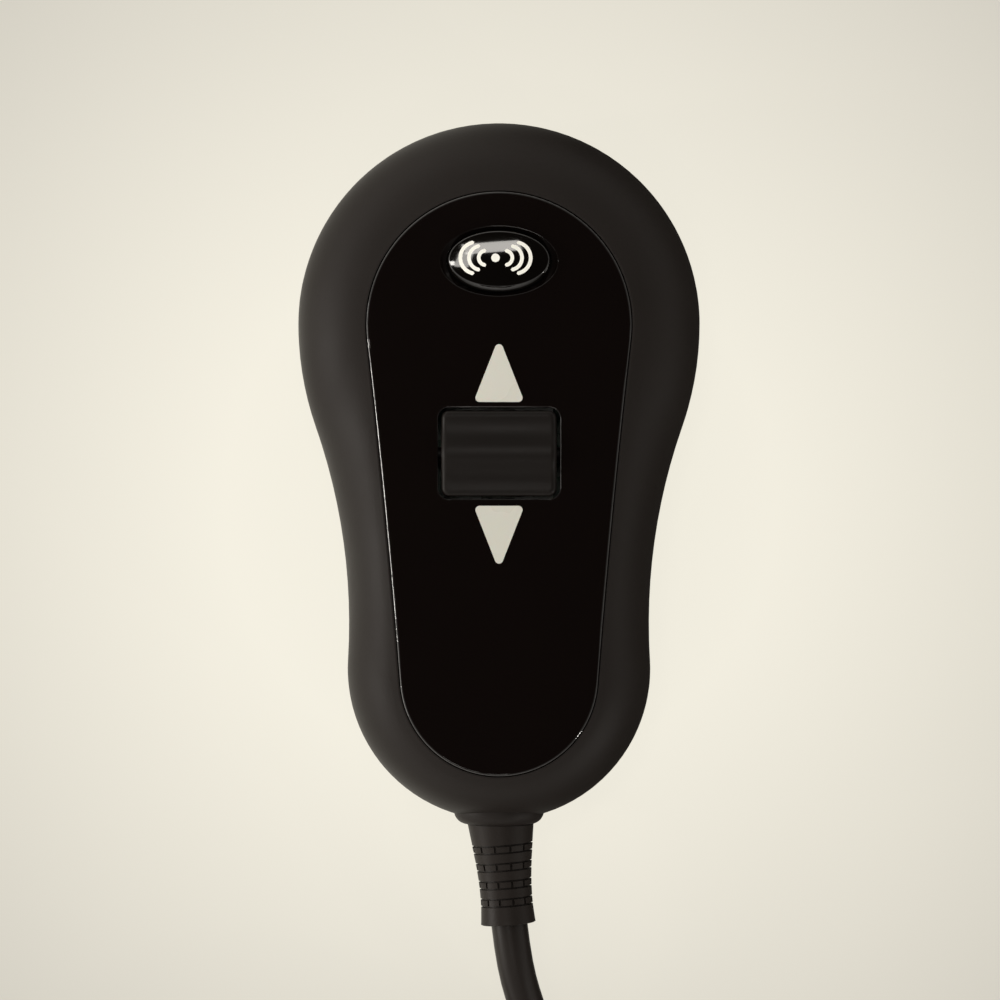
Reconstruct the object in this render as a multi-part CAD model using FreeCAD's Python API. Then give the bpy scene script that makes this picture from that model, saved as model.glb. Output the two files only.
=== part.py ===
import FreeCAD, Part
import math
import os

# Wired hand control for a powered recliner, lying on its back with its face up and its cord to -Y.
# Millimetres. Origin at the middle of the back of the housing, +Z out of the face, +X right as seen on the face.

V = FreeCAD.Vector
X_AXIS = V(1, 0, 0)
Y_AXIS = V(0, 1, 0)
Z_AXIS = V(0, 0, 1)

# Housing outline as seen on the face: head circle, shoulder arcs, waist arcs, foot circle
head_radius = 32.1
shoulder_radius = 50.0
waist_radius = 95.0
foot_radius = 24.2
head_to_foot = 55.1
boss_reach = 0.6
# Housing heights and walls
parting_z = 13.0
rim_z = 25.3
rim_turn = 76.0
rim_steps = 5
back_round = 9.0
wall = 2.0
deck_thickness = 1.5
lip_height = 1.2
lip_width = 0.9
lip_clearance = 0.06
seam_depth = 0.3
seam_height = 0.3
# Faceplate, seated on the deck inside the rim
plate_head_radius = 20.9
plate_shoulder_growth = 0.01
plate_waist_radius = 1400.0
plate_foot_radius = 15.6
plate_head_drop = 0.55
plate_foot_drop = 0.9
plate_recess = 1.1
plate_thickness = 1.8
plate_gap = 0.12
rim_land = 0.25
plate_crown_radius_x = 450.0
plate_crown_radius_y = 3000.0
plate_edge_round = 0.4
plate_peg_radius = 1.0
plate_peg_clearance = 0.1
plate_peg_inset = 3.2
plate_peg_past_deck = 0.4
plate_peg_root = 0.2
plate_peg_head_turn = 8.0
plate_peg_foot_turn = 51.0
# Oval massage button and the dish round it
button_above_head = 9.4
button_rx = 8.1
button_ry = 4.85
button_top_rx = 7.6
button_top_ry = 4.0
button_top_shift = 0.42
button_rise = 1.2
button_sleeve_drop = 0.2
button_flank_height_share = 0.6
button_flank_inset_share = 0.5
button_flank_shift_share = 0.5
button_edge_round = 0.2
button_crown_radius_x = 60.0
button_crown_radius_y = 25.0
button_wall = 1.4
button_clearance = 0.2
button_flange = 1.1
button_flange_height = 1.2
dish_reach_x = 1.55
dish_reach_y = 0.6
dish_depth = 0.9
dish_edge_round = 0.12
# Rocker and the opening round it
rocker_below_head = 20.8
rocker_width = 18.1
rocker_length = 13.5
rocker_corner = 1.3
rocker_side_gap = 0.55
rocker_end_gap = 0.45
opening_edge_round = 0.12
rocker_pivot_drop = 1.2
rocker_ridge_rise = 1.15
rocker_ridge_round = 5.0
rocker_scoop_rise = 0.25
rocker_scoop_round = 7.0
rocker_edge_round = 0.9
rocker_wall = 1.4
rocker_skirt = 1.2
rocker_foot_inset = 2.15
rocker_foot_radius = 1.6
rocker_root = 0.5
pivot_radius = 1.0
pivot_clearance = 0.06
pivot_reach = 2.8
ear_gap = 0.2
ear_thickness = 3.0
ear_length = 6.0
ear_depth = 3.2
ear_slot = 1.85
# Arrow windows, each pointing away from the rocker
arrow_base = 8.0
arrow_height = 10.2
arrow_corner = 0.65
up_arrow_gap = 0.84
down_arrow_gap = 1.05
arrow_clearance = 0.03
light_radius = 2.5
chimney_wall = 0.9
chimney_gap = 0.8
# Circuit board and its fixings
board_z = 13.4
board_thickness = 1.6
board_inset = 9.0
board_foot_rise = 7.7
board_boss_radius = 2.3
board_boss_inset = 3.5
board_boss_drop = 4.9
board_foot_boss_inset = 13.2
board_foot_boss_rise = 7.6
board_screw_radius = 1.0
board_screw_length = 6.0
thread_clearance = 0.02
hole_clearance = 0.2
boss_hole_clearance = 0.4
blind_spare = 0.5
# Keypad mat on the board
mat_thickness = 1.0
mat_half_width = 8.6
mat_margin = 1.4
mat_window_gap = 0.9
mat_light_gap = 0.55
dome_height = 2.2
dome_base_radius = 3.6
dome_top_radius = 2.2
dome_wall = 0.6
dome_roof = 0.96
press_gap = 0.12
# Lights, chip, capacitor and connector
led_width = 3.0
led_height = 1.2
led_lens_radius = 1.1
led_lens_top_radius = 0.77
led_lens_height = 0.3
chip_size = (6.2, 10.2, 1.7)
chip_x = 6.5
chip_below_head = 1.9
chip_lift = 0.1
chip_leg_size = (1.3, 0.45, 0.3)
chip_leg_pitch = 1.27
chip_leg_count = 7
capacitor_x = -8.0
capacitor_radius = 3.15
capacitor_height = 8.0
capacitor_groove_height = 1.3
capacitor_groove_depth = 0.3
header_size = (13.4, 6.0, 5.8)
header_overhang = 0.6
header_back_wall = 1.2
header_clearance = 0.1
wire_housing_size = (12.0, 6.0, 4.4)
wire_count = 5
wire_pitch = 2.3
wire_radius = 0.55
wire_ring_share = 0.5
wire_run_share = 0.28
# Case screws in wells from the back
case_screw_inset = 13.5
case_screw_head_turn = 36.5
case_screw_foot_turn = 9.7
well_radius = 3.3
well_wall = 1.3
well_seat = 2.0
case_boss_radius = 3.1
case_screw_radius = 1.5
case_screw_length = 9.0
# Screw heads and their cross recess, as shares of the shank's radius or of the head's height
head_radius_share = 1.85
head_height_share = 1.2
head_round_share = 0.4
recess_width_share = 0.3
recess_reach_share = 1.2
recess_depth_share = 0.6
# Cord boss, boot and clamp
boss_radius = 7.2
boss_length = 7.0
boss_bore = 6.3
boss_end_wall = 2.4
boss_edge_round = 2.1
neck_radius = 4.6
neck_clearance = 0.35
boot_lean = 4.3
boot_pivot_inset = 4.0
boot_flange_radius = 5.9
boot_flange_start = -0.4
boot_flange_end = 1.0
boot_start = 3.6
boot_seat_gap = 0.05
boot_length = 16.4
boot_top_radius = 5.3
boot_top_round = 0.15
boot_collar_radius = 4.85
boot_collar_length = 3.53
boot_waist_radius = 4.14
boot_waist_share = 0.735
boot_end_radius = 4.38
boot_end_land = 0.6
boot_end_lip = 0.1
boot_end_round = 0.2
cord_fit = 0.05
band_count = 4
band_pitch = 2.84
band_height = 1.45
groove_width = 0.28
groove_depth = 0.45
slit_count = 12
slit_width = 0.36
clamp_width = 17.0
clamp_length = 6.0
clamp_thickness = 4.6
clamp_corner = 1.2
clamp_gap = 0.3
clamp_screw_x = 6.2
clamp_screw_radius = 1.1
clamp_screw_length = 9.0
clamp_end_gap = 3.0
# Cord, coil and tail
cord_radius = 2.9
cord_end_inset = 18.0
bend_share = 0.45
cord_route = [
    (1.45, -74.5, 13.0), (4.9, -88.0, 9.0), (11.2, -99.8, 4.2),
    (19.3, -110.6, 3.0), (27.5, -124.5, 3.0),
]
tail_route = [
    (1.5, -96.9, 8.9), (14.5, -104.1, 11.4), (22.8, -115.2, 14.4),
    (26.2, -128.8, 17.2), (23.9, -142.6, 19.1), (16.4, -154.4, 19.1),
]
coil_centre = (-13.6, -136.6)
coil_mean_radius = 33.0
coil_spread = 9.57
coil_layers = 2
coil_edge_round = 2.6
# Plug, in line with the end of the tail
plug_lead = 8.0
plug_direction = -147.0
plug_bore_depth = 8.0
plug_relief_length = 11.0
plug_relief_radius = 3.9
plug_relief_end_radius = 4.9
plug_relief_round = 0.3
plug_step_start = 1.5
plug_step_length = 1.0
plug_step_rise = 0.6
plug_shoulder_length = 2.5
plug_edge_round = 0.5
plug_grip_length = 20.0
plug_grip_radius = 7.3
plug_rib_count = 5
plug_rib_start = 4.2
plug_rib_pitch = 2.6
plug_rib_width = 1.1
plug_rib_depth = 0.45
plug_shell_radius = 6.6
plug_shell_wall = 0.45
plug_shell_length = 9.5
plug_shell_seat = 3.0
plug_fit = 0.02
plug_insert_length = 4.5
plug_pin_radius = 0.72
plug_pin_length = 6.6
plug_pin_circle = 3.5
plug_pin_step = 45.0
plug_pin_round_share = 0.6
plug_key_width = 1.6
plug_key_depth = 0.5
plug_key_root = 0.05
# Cuts run this far past what they cut
margin = 1.0
clear = 30.0
crown_depth = 12.0

# Worked out from the sizes above
overall_length = head_radius + head_to_foot + foot_radius + boss_reach
head_y = overall_length / 2 - head_radius
foot_y = head_y - head_to_foot
boss_end_y = -overall_length / 2
plate_seat_z = rim_z - plate_recess
plate_top_z = plate_seat_z + plate_thickness
deck_z = plate_seat_z - deck_thickness
board_top_z = board_z + board_thickness
mat_top_z = board_top_z + mat_thickness
dome_top_z = mat_top_z + dome_height
press_z = dome_top_z + press_gap
button_y = head_y + button_above_head
button_top_z = plate_top_z + button_rise
rocker_y = head_y - rocker_below_head
pivot_z = deck_z - rocker_pivot_drop
rocker_base_z = pivot_z - rocker_skirt
opening_width = rocker_width + 2 * rocker_side_gap
opening_length = rocker_length + 2 * rocker_end_gap
opening_corner = rocker_corner + rocker_end_gap
up_arrow_base_y = rocker_y + opening_length / 2 + up_arrow_gap
down_arrow_base_y = rocker_y - opening_length / 2 - down_arrow_gap
arrow_light_y = (up_arrow_base_y + arrow_height / 3, down_arrow_base_y - arrow_height / 3)
rocker_foot_reach = rocker_length / 2 - rocker_foot_inset
dome_y = (rocker_y - rocker_foot_reach, rocker_y + rocker_foot_reach, button_y)
board_foot_y = foot_y + board_foot_rise
wire_z = board_z - header_size[2] / 2
header_back_y = board_foot_y + header_size[1] - header_overhang
wire_housing_front_y = header_back_y - header_back_wall - header_clearance
clamp_y = boss_end_y + cord_end_inset - clamp_end_gap - clamp_length / 2
clamp_top_z = parting_z + clamp_gap / 2 + clamp_thickness
boot_pivot_y = boss_end_y + boot_pivot_inset
cord_exit = [(0, boss_end_y + cord_end_inset, parting_z), (0, boot_pivot_y, parting_z)]
housing_sizes = (head_y, head_radius, shoulder_radius, waist_radius, foot_y, foot_radius)
plate_sizes = (
    head_y - plate_head_drop, plate_head_radius, plate_head_radius + plate_shoulder_growth,
    plate_waist_radius, foot_y - plate_foot_drop, plate_foot_radius,
)


def mirrored(places):
    """The places, and the same ones on the left."""
    return [(side * x, y) for x, y in places for side in (-1, 1)]


def on_circle(centre_y, radius, turn):
    """Place on a circle about (0, centre_y), turn degrees up from +X."""
    angle = math.radians(turn)
    return radius * math.cos(angle), centre_y + radius * math.sin(angle)


case_screw_places = mirrored([
    on_circle(head_y, head_radius - case_screw_inset, case_screw_head_turn),
    on_circle(foot_y, foot_radius - case_screw_inset, -case_screw_foot_turn),
])
board_boss_places = mirrored([
    (head_radius - board_inset - board_boss_inset, head_y - board_boss_drop),
    (foot_radius - board_foot_boss_inset, board_foot_y + board_foot_boss_rise),
])
plate_peg_places = mirrored([
    on_circle(plate_sizes[0], plate_head_radius - plate_peg_inset, plate_peg_head_turn),
    ((plate_head_radius + plate_foot_radius) / 2 - plate_peg_inset, (head_y + foot_y) / 2),
    on_circle(plate_sizes[4], plate_foot_radius - plate_peg_inset, -plate_peg_foot_turn),
])


def inset(sizes, depth):
    """The same keyhole outline, moved inwards by depth."""
    top_y, head, shoulder, waist, bottom_y, foot = sizes
    return top_y, head - depth, shoulder - depth, waist + depth, bottom_y, foot - depth


def between(first, last, share):
    """Sizes of an outline part of the way from the first to the last; the waist goes by its curvature."""
    mixed = [a + (b - a) * share for a, b in zip(first, last)]
    mixed[3] = 1 / (1 / first[3] + (1 / last[3] - 1 / first[3]) * share)
    return tuple(mixed)


def keyhole(sizes, z):
    """Closed wire of a keyhole outline at height z, six arcs that run into each other smoothly."""
    top_y, head, shoulder, waist, bottom_y, foot = sizes
    shoulder_x = head - shoulder
    shoulder_reach = shoulder + waist
    foot_reach = foot + waist
    apart = math.hypot(shoulder_x, top_y - bottom_y)
    along = (shoulder_reach ** 2 - foot_reach ** 2 + apart ** 2) / (2 * apart)
    aside = math.sqrt(shoulder_reach ** 2 - along ** 2)
    ux = -shoulder_x / apart
    uy = (bottom_y - top_y) / apart
    waist_x = shoulder_x + ux * along - uy * aside
    waist_y = top_y + uy * along + ux * aside

    def meet(cx, cy, radius, reach):
        return cx + (waist_x - cx) * radius / reach, cy + (waist_y - cy) * radius / reach

    def middle(cx, cy, radius, first, last):
        mx = (first[0] + last[0]) / 2 - cx
        my = (first[1] + last[1]) / 2 - cy
        return cx + mx * radius / math.hypot(mx, my), cy + my * radius / math.hypot(mx, my)

    wide = (head, top_y)
    upper = meet(shoulder_x, top_y, shoulder, shoulder_reach)
    lower = meet(0, bottom_y, foot, foot_reach)
    on_shoulder = middle(shoulder_x, top_y, shoulder, wide, upper)
    on_waist = middle(waist_x, waist_y, waist, upper, lower)

    def spot(point, side=1):
        return V(side * point[0], point[1], z)

    arcs = [
        Part.Arc(spot(wide), V(0, top_y + head, z), spot(wide, -1)),
        Part.Arc(spot(wide, -1), spot(on_shoulder, -1), spot(upper, -1)),
        Part.Arc(spot(upper, -1), spot(on_waist, -1), spot(lower, -1)),
        Part.Arc(spot(lower, -1), V(0, bottom_y - foot, z), spot(lower)),
        Part.Arc(spot(lower), spot(on_waist), spot(upper)),
        Part.Arc(spot(upper), spot(on_shoulder), spot(wide)),
    ]
    return Part.Wire([arc.toShape() for arc in arcs])


def keyhole_slab(sizes, low, high):
    return Part.Face(keyhole(sizes, low)).extrude(V(0, 0, high - low))


def rounded_polygon(points, radius, z):
    """Closed wire through the points at height z, each corner rounded."""
    edges = []
    ends = []
    for i, corner in enumerate(points):
        here = V(corner[0], corner[1], z)
        before = V(points[i - 1][0], points[i - 1][1], z) - here
        after = V(points[(i + 1) % len(points)][0], points[(i + 1) % len(points)][1], z) - here
        half = before.getAngle(after) / 2
        back = radius / math.tan(half)
        start = here + before.normalize() * back
        end = here + after.normalize() * back
        inward = (before + after).normalize()
        centre = here + inward * (radius / math.sin(half))
        edges.append(Part.Arc(start, centre - inward * radius, end).toShape())
        ends.append((start, end))
    for i in range(len(points)):
        edges.append(Part.LineSegment(ends[i - 1][1], ends[i][0]).toShape())
    return Part.Wire(Part.__sortEdges__(edges))


def rectangle(width, length, y):
    return [(-width / 2, y - length / 2), (width / 2, y - length / 2),
            (width / 2, y + length / 2), (-width / 2, y + length / 2)]


def rounded_slab(points, radius, low, high):
    return Part.Face(rounded_polygon(points, radius, low)).extrude(V(0, 0, high - low))


def ellipse(rx, ry, y, z):
    """Closed wire of an ellipse, wider along X."""
    curve = Part.Ellipse(V(0, y, z), rx, ry)
    return Part.Wire([curve.toShape()])


def oval_slab(rx, ry, y, low, high):
    return Part.Face(ellipse(rx, ry, y, low)).extrude(V(0, 0, high - low))


def post(x, y, low, high, radius):
    return Part.makeCylinder(radius, high - low, V(x, y, low))


def box(x0, x1, y0, y1, z0, z1):
    return Part.makeBox(x1 - x0, y1 - y0, z1 - z0, V(x0, y0, z0))


def turned(points, axis_start, axis):
    """Solid of revolution: points are (distance along the axis, radius), from the axis and back to it."""
    helper = Z_AXIS if abs(axis.z) < 0.9 else X_AXIS
    out = axis.cross(helper).normalize()
    places = [axis_start + axis * s + out * r for s, r in points]
    face = Part.Face(Part.makePolygon(places + [places[0]]))
    return face.revolve(axis_start, axis, 360)


def cord_bore(y, long):
    """Bar along Y as thick as the cord and its clearance, from y towards the cord's exit."""
    return Part.makeCylinder(cord_radius + cord_fit, long, V(0, y, parting_z), -Y_AXIS)


def crowned_block(top_z, radius_x, radius_y, y, half_width, half_length):
    """Block whose top is a shallow crown, highest at (0, y, top_z)."""
    low = top_z - crown_depth
    side_z = top_z - radius_x + math.sqrt(radius_x ** 2 - half_width ** 2)
    section = Part.Wire([
        Part.LineSegment(V(-half_width, y, low), V(half_width, y, low)).toShape(),
        Part.LineSegment(V(half_width, y, low), V(half_width, y, side_z)).toShape(),
        Part.Arc(V(half_width, y, side_z), V(0, y, top_z), V(-half_width, y, side_z)).toShape(),
        Part.LineSegment(V(-half_width, y, side_z), V(-half_width, y, low)).toShape(),
    ])
    axis_at = V(0, y, top_z - radius_y)
    swing = math.degrees(math.asin(half_length / radius_y))
    face = Part.Face(section)
    face.rotate(axis_at, X_AXIS, -swing)
    return face.revolve(axis_at, X_AXIS, 2 * swing)


def plate_crown_block():
    return crowned_block(plate_top_z, plate_crown_radius_x, plate_crown_radius_y, (head_y + foot_y) / 2,
                         head_radius, overall_length / 2)


def front_sections(depth, top_z, last):
    """Outline sections of the front half, from the parting line up the rolled rim to the face."""
    full = math.radians(rim_turn)
    made = []
    for i in range(rim_steps + 1):
        turn = full * i / rim_steps
        share = (1 - math.cos(turn)) / (1 - math.cos(full))
        rise = math.sin(turn) / math.sin(full)
        sizes = inset(between(housing_sizes, last, share), depth)
        made.append(keyhole(sizes, parting_z + (top_z - parting_z) * rise))
    return made


def boss_bar(radius, start_y, end_y, edge_round=0.0):
    """Round bar along Y at the parting line, its outer edge rounded."""
    solid = Part.makeCylinder(radius, start_y - end_y, V(0, start_y, parting_z), -Y_AXIS)
    if edge_round:
        rim = [e for e in solid.Edges if abs(e.BoundBox.YMax - end_y) < 1e-4 and len(e.Vertexes) == 1]
        solid = solid.makeFillet(edge_round, rim)
    return solid


def cord_boss():
    return boss_bar(boss_radius, boss_end_y + boss_length, boss_end_y, boss_edge_round)


def boss_cavity():
    """Room inside the boss for the boot's inner flange, and the hole in its end for the boot's neck."""
    room = boss_bar(boss_bore, boss_end_y + boss_length + wall, boss_end_y + boss_end_wall)
    hole = boss_bar(neck_radius + neck_clearance, boss_end_y + boss_length, boss_end_y - clear)
    return room.fuse(hole)


def boss_gate(side_wall):
    """Room kept free of the lip and its rebate where the boss meets the foot of the housing."""
    reach = boss_radius + side_wall
    return box(-reach, reach, boss_end_y, foot_y, parting_z, parting_z + clear)


def seam_groove():
    """Narrow ring along the parting line that leaves a shadow gap between the halves."""
    low = parting_z - seam_height / 2
    high = parting_z + seam_height / 2
    outside = keyhole_slab(inset(housing_sizes, -boss_reach - margin), low, high)
    return outside.cut(keyhole_slab(inset(housing_sizes, seam_depth), low, high))


def rocker_opening(low, high):
    return rounded_slab(rectangle(opening_width, opening_length, rocker_y), opening_corner, low, high)


def front_shell():
    seat = inset(plate_sizes, -plate_gap - rim_land)
    outer = Part.makeLoft(front_sections(0, rim_z, seat), True)
    inner = Part.makeLoft(front_sections(wall, deck_z, seat), True)
    below = box(-clear, clear, boss_end_y - clear, head_y + clear, -clear, parting_z)
    shell = outer.fuse(cord_boss().cut(below)).cut(inner).cut(boss_cavity())
    shell = shell.cut(keyhole_slab(inset(plate_sizes, -plate_gap), plate_seat_z, rim_z + margin))
    # Rebate for the lip of the rear half
    rebate_depth = wall - lip_width - lip_clearance
    rebate = keyhole_slab(inset(housing_sizes, rebate_depth), parting_z, parting_z + lip_height + lip_clearance)
    shell = shell.cut(rebate.cut(boss_gate(wall)))
    # Bosses under the deck for the case screws and the board, round the lights and for the rocker's pivots
    root_z = deck_z + deck_thickness / 2
    for x, y in case_screw_places:
        shell = shell.fuse(post(x, y, parting_z, root_z, case_boss_radius))
    for x, y in board_boss_places:
        shell = shell.fuse(post(x, y, board_top_z, root_z, board_boss_radius))
    for y in arrow_light_y:
        low = board_top_z + led_height + chimney_gap
        shell = shell.fuse(post(0, y, low, root_z, light_radius + chimney_wall))
    shell = shell.fuse(rocker_ears(root_z))
    # Holes
    for x, y in case_screw_places:
        shell = shell.cut(post(x, y, parting_z, parting_z + case_screw_length + blind_spare,
                               case_screw_radius + thread_clearance))
    for x, y in board_boss_places:
        shell = shell.cut(post(x, y, board_top_z, board_z + board_screw_length + blind_spare,
                               board_screw_radius + thread_clearance))
    for x, y in plate_peg_places:
        shell = shell.cut(post(x, y, deck_z - margin, rim_z, plate_peg_radius + plate_peg_clearance))
    for y in arrow_light_y:
        shell = shell.cut(post(0, y, board_top_z, rim_z, light_radius))
    shell = shell.cut(oval_slab(button_rx + button_clearance, button_ry + button_clearance, button_y,
                                deck_z - margin, rim_z))
    shell = shell.cut(rocker_opening(deck_z - margin, rim_z))
    return shell.cut(seam_groove())


def rocker_ears(root_z):
    """Two ears under the deck, each with a pivot hole that opens downwards through a snap slot."""
    near = opening_width / 2 + ear_gap
    low = deck_z - ear_depth
    ears = []
    for side in (-1, 1):
        x0, x1 = sorted((side * near, side * (near + ear_thickness)))
        ear = box(x0, x1, rocker_y - ear_length / 2, rocker_y + ear_length / 2, low, root_z)
        hole = Part.makeCylinder(pivot_radius + pivot_clearance, ear_thickness, V(x0, rocker_y, pivot_z), X_AXIS)
        slot = box(x0, x1, rocker_y - ear_slot / 2, rocker_y + ear_slot / 2, low, pivot_z)
        ears.append(ear.cut(hole).cut(slot))
    return Part.makeCompound(ears)


def rear_shell():
    outer = keyhole_slab(housing_sizes, 0, parting_z)
    outer = outer.makeFillet(back_round, [e for e in outer.Edges if e.BoundBox.ZMax < 1e-4])
    inner = keyhole_slab(inset(housing_sizes, wall), wall, parting_z + clear)
    inner = inner.makeFillet(back_round - wall, [e for e in inner.Edges if e.BoundBox.ZMax < wall + 1e-4])
    above = box(-clear, clear, boss_end_y - clear, head_y + clear, parting_z, parting_z + clear)
    shell = outer.fuse(cord_boss().cut(above))
    # Lip that stands up inside the front half's rebate
    lip = keyhole_slab(inset(housing_sizes, wall - lip_width), parting_z - wall, parting_z + lip_height)
    shell = shell.fuse(lip.cut(boss_gate(2 * wall))).cut(inner).cut(boss_cavity())
    for x, y in case_screw_places:
        shell = shell.fuse(post(x, y, wall / 2, parting_z, well_radius + well_wall))
    # Saddle under the cord clamp, with its two pilot holes
    shell = shell.fuse(box(-clamp_width / 2, clamp_width / 2, clamp_y - clamp_length / 2,
                           clamp_y + clamp_length / 2, wall / 2, parting_z - clamp_gap / 2))
    shell = shell.cut(cord_bore(clamp_y + clamp_length, 2 * clamp_length))
    for side in (-1, 1):
        shell = shell.cut(post(side * clamp_screw_x, clamp_y, clamp_top_z - clamp_screw_length - blind_spare,
                               parting_z, clamp_screw_radius + thread_clearance))
    for x, y in case_screw_places:
        shell = shell.cut(post(x, y, 0, parting_z - well_seat, well_radius))
        shell = shell.cut(post(x, y, 0, parting_z, case_screw_radius + hole_clearance))
    return shell.cut(seam_groove())


def arrow_points(base_y, side, grow=0.0):
    """Corners of an arrow that points to +Y (side 1) or -Y (side -1), grown on every side."""
    half = arrow_base / 2
    slope = math.atan2(arrow_height, half)
    wide = half + grow / math.tan(slope / 2)
    tip = arrow_height + grow / math.cos(slope)
    return [(-wide, base_y - side * grow), (wide, base_y - side * grow), (0, base_y + side * tip)]


def arrow_window(base_y, side):
    prism = rounded_slab(arrow_points(base_y, side), arrow_corner, plate_seat_z, plate_top_z + clear)
    return prism.common(plate_crown_block())


def dish_cut():
    """Hollow round the button, from the hole's edge out to the wider oval on the face."""
    hole_rx = button_rx + button_clearance
    hole_ry = button_ry + button_clearance
    past = (dish_depth + margin) / dish_depth
    hole = oval_slab(hole_rx, hole_ry, button_y, plate_seat_z - margin, plate_top_z + margin)
    dish = Part.makeLoft([
        ellipse(hole_rx, hole_ry, button_y, plate_top_z - dish_depth),
        ellipse(hole_rx + dish_reach_x * past, hole_ry + dish_reach_y * past, button_y, plate_top_z + margin),
    ], True)
    return hole.fuse(dish)


def faceplate():
    edge_z = plate_seat_z + plate_edge_round
    plate = keyhole_slab(plate_sizes, plate_seat_z, plate_top_z + clear).common(plate_crown_block())
    plate = plate.makeFillet(plate_edge_round, [e for e in plate.Edges if e.BoundBox.ZMin > edge_z])
    plate = plate.cut(rocker_opening(plate_seat_z - margin, plate_top_z + margin))
    rim = [e for e in plate.Edges if e.BoundBox.ZMin > edge_z
           and abs(e.CenterOfMass.x) < opening_width / 2 + margin
           and abs(e.CenterOfMass.y - rocker_y) < opening_length / 2 + margin]
    plate = plate.makeFillet(opening_edge_round, rim)
    plate = plate.cut(dish_cut())
    rim = [e for e in plate.Edges if e.BoundBox.ZMin > plate_top_z - dish_depth / 2
           and abs(e.CenterOfMass.x) < margin and abs(e.CenterOfMass.y - button_y) < margin]
    plate = plate.makeFillet(dish_edge_round, rim)
    for base_y, side in ((up_arrow_base_y, 1), (down_arrow_base_y, -1)):
        plate = plate.cut(rounded_slab(arrow_points(base_y, side, arrow_clearance), arrow_corner,
                                       plate_seat_z - margin, plate_top_z + margin))
    for x, y in plate_peg_places:
        plate = plate.fuse(post(x, y, deck_z - plate_peg_past_deck, plate_seat_z + plate_peg_root,
                                plate_peg_radius))
    return plate.removeSplitter()


def massage_button():
    """Hollow cap with a flange under the deck, a foot over its dome and a crowned top."""
    sleeve_top = plate_top_z - button_sleeve_drop
    flange_top = deck_z - press_gap
    flange_low = flange_top - button_flange_height
    cap = oval_slab(button_rx, button_ry, button_y, flange_low, sleeve_top)
    flank = Part.makeLoft([
        ellipse(button_rx, button_ry, button_y, sleeve_top),
        ellipse(button_rx - (button_rx - button_top_rx) * button_flank_inset_share,
                button_ry - (button_ry - button_top_ry) * button_flank_inset_share,
                button_y + button_top_shift * button_flank_shift_share,
                sleeve_top + (button_top_z - sleeve_top) * button_flank_height_share),
        ellipse(button_top_rx, button_top_ry, button_y + button_top_shift, button_top_z),
    ], True)
    reach = button_rx + margin
    cap = cap.fuse(flank).common(crowned_block(button_top_z, button_crown_radius_x, button_crown_radius_y,
                                               button_y + button_top_shift, reach, reach))
    rim = [e for e in cap.Edges if e.BoundBox.ZMin > plate_top_z and e.Length > 4 * button_top_ry]
    cap = cap.makeFillet(button_edge_round, rim)
    cap = cap.fuse(oval_slab(button_rx + button_flange, button_ry + button_flange, button_y,
                             flange_low, flange_top))
    cap = cap.cut(oval_slab(button_rx - button_wall, button_ry - button_wall, button_y,
                            flange_low, sleeve_top - button_wall))
    return cap.fuse(post(0, button_y, press_z, sleeve_top - button_wall / 2, dome_top_radius))


def rocker_profile():
    """Side view of the rocker: a round cross ridge that runs into a shallow finger scoop on each side."""
    half = rocker_length / 2
    rise = rocker_ridge_rise - rocker_scoop_rise
    reach = rocker_ridge_round + rocker_scoop_round
    ridge_z = plate_top_z + rocker_ridge_rise
    scoop_centre_y = math.sqrt(2 * reach * rise - rise ** 2)
    scoop_centre_z = plate_top_z + rocker_scoop_rise + rocker_scoop_round
    join_y = scoop_centre_y * rocker_ridge_round / reach

    def scoop(y):
        return abs(y), scoop_centre_z - math.sqrt(rocker_scoop_round ** 2 - (abs(y) - scoop_centre_y) ** 2)

    def spot(side, place):
        return V(0, rocker_y + side * place[0], place[1])

    join = scoop(join_y)
    middle = scoop((join_y + half) / 2)
    end = scoop(half)
    base = (half, rocker_base_z)
    edges = [Part.Arc(spot(-1, join), spot(1, (0, ridge_z)), spot(1, join)).toShape(),
             Part.LineSegment(spot(-1, base), spot(1, base)).toShape()]
    for side in (-1, 1):
        edges.append(Part.Arc(spot(side, join), spot(side, middle), spot(side, end)).toShape())
        edges.append(Part.LineSegment(spot(side, end), spot(side, base)).toShape())
    return Part.Face(Part.Wire(Part.__sortEdges__(edges)))


def rocker():
    """Hollow rocker with its outer edges rounded, two feet over the domes and a pivot on each side."""
    half_width = rocker_width / 2
    half_length = rocker_length / 2
    body = rocker_profile().extrude(V(rocker_width, 0, 0))
    body.translate(V(-half_width, 0, 0))
    body = body.common(rounded_slab(rectangle(rocker_width, rocker_length, rocker_y), rocker_corner,
                                    rocker_base_z - margin, plate_top_z + clear))
    ceiling = plate_top_z + rocker_scoop_rise - rocker_wall

    def on_outer_edge(e):
        across = e.BoundBox.YLength < 1e-4 and abs(e.CenterOfMass.y - rocker_y) < half_length - rocker_corner
        return e.BoundBox.ZMin > ceiling and not across

    body = body.makeFillet(rocker_edge_round, [e for e in body.Edges if on_outer_edge(e)])
    body = body.cut(box(-half_width + rocker_wall, half_width - rocker_wall,
                        rocker_y - half_length + rocker_wall, rocker_y + half_length - rocker_wall,
                        rocker_base_z - margin, ceiling))
    for side in (-1, 1):
        body = body.fuse(post(0, rocker_y + side * rocker_foot_reach, press_z, ceiling + rocker_root,
                              rocker_foot_radius))
        start = V(side * (half_width - rocker_root), rocker_y, pivot_z)
        body = body.fuse(Part.makeCylinder(pivot_radius, pivot_reach + rocker_root, start, X_AXIS * side))
    return body.removeSplitter()


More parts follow.
